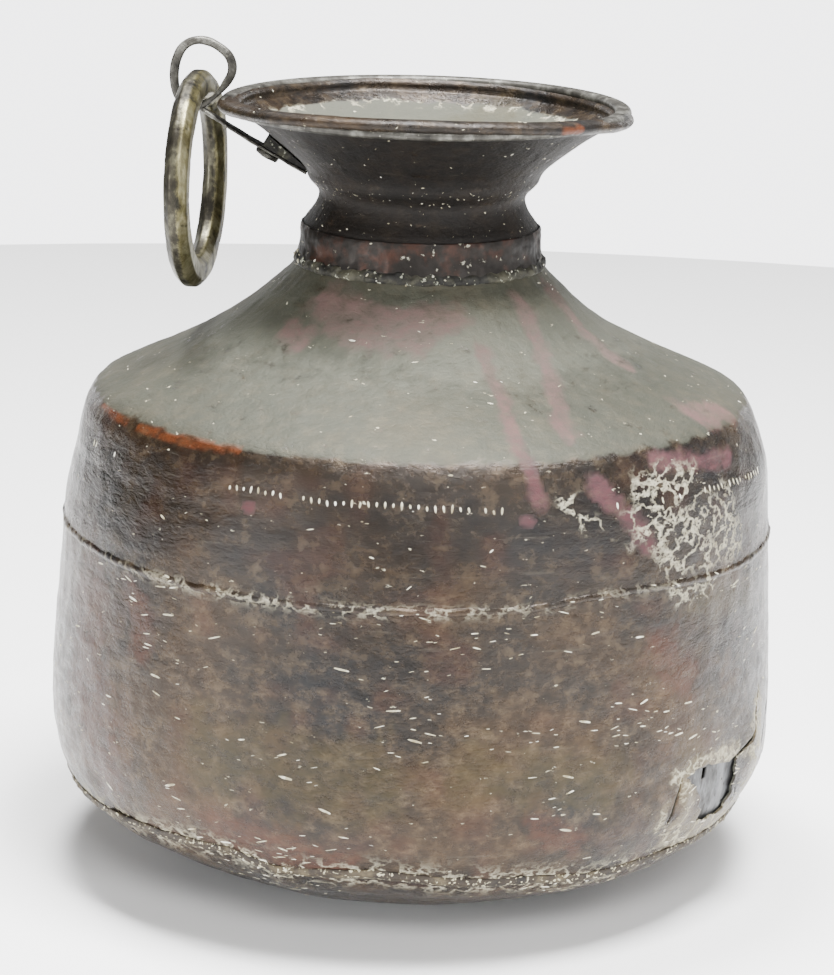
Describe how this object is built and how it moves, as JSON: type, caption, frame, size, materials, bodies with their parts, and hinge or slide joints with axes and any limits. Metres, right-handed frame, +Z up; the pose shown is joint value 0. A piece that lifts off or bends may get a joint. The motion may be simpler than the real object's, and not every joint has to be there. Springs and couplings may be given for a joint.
{
  "type": "water pot",
  "caption": "Large hammered copper water pot with a rounded belly, collared neck, wide rolled-rim mouth and a thick brass carrying ring hung from an iron strap.",
  "frame": {"origin": "middle of the flat rest under the pot", "axes": "+Z up along the pot's axis of turning, ring hanger on the -X side, the torn corner between +X and -Y"},
  "size_m": [0.3608, 0.3608, 0.4089],
  "materials": {
    "hammered_copper": "hammered copper under a dark brown-grey patina, satin",
    "dark_copper": "copper with a near-black brown patina, satin",
    "spelter": "dull yellow brazing metal with lime",
    "solder_crust": "crusted grey-white solder",
    "tinned_plate": "dull grey tinned plate",
    "wrought_iron": "dark forged iron with worn bright edges",
    "ring_brass": "cast brass, dark patina with golden worn facets"
  },
  "bodies": {
    "pot": {"base_dish": "hammered_copper", "lower_wall": "hammered_copper", "upper_body": "hammered_copper", "mouth_flare": "dark_copper", "neck_collar": "dark_copper", "rim_hoop": "wrought_iron", "base_braze": "spelter", "waist_braze": "spelter", "collar_solder": "solder_crust", "strap_solder": "solder_crust", "tear_patch": "tinned_plate", "hanger_strap": "wrought_iron", "strap_rivet": "wrought_iron", "rivet_rove": "wrought_iron"},
    "ring": {"carrying_ring": "ring_brass"}
  },
  "joints": [
    {"name": "ring_swing", "type": "hinge", "parent": "pot", "child": "ring", "pos_m": [-0.11112, 0, 0.38512], "axis": [0.1392, 0.9903, 0], "range_deg": [-16, 250]}
  ]
}
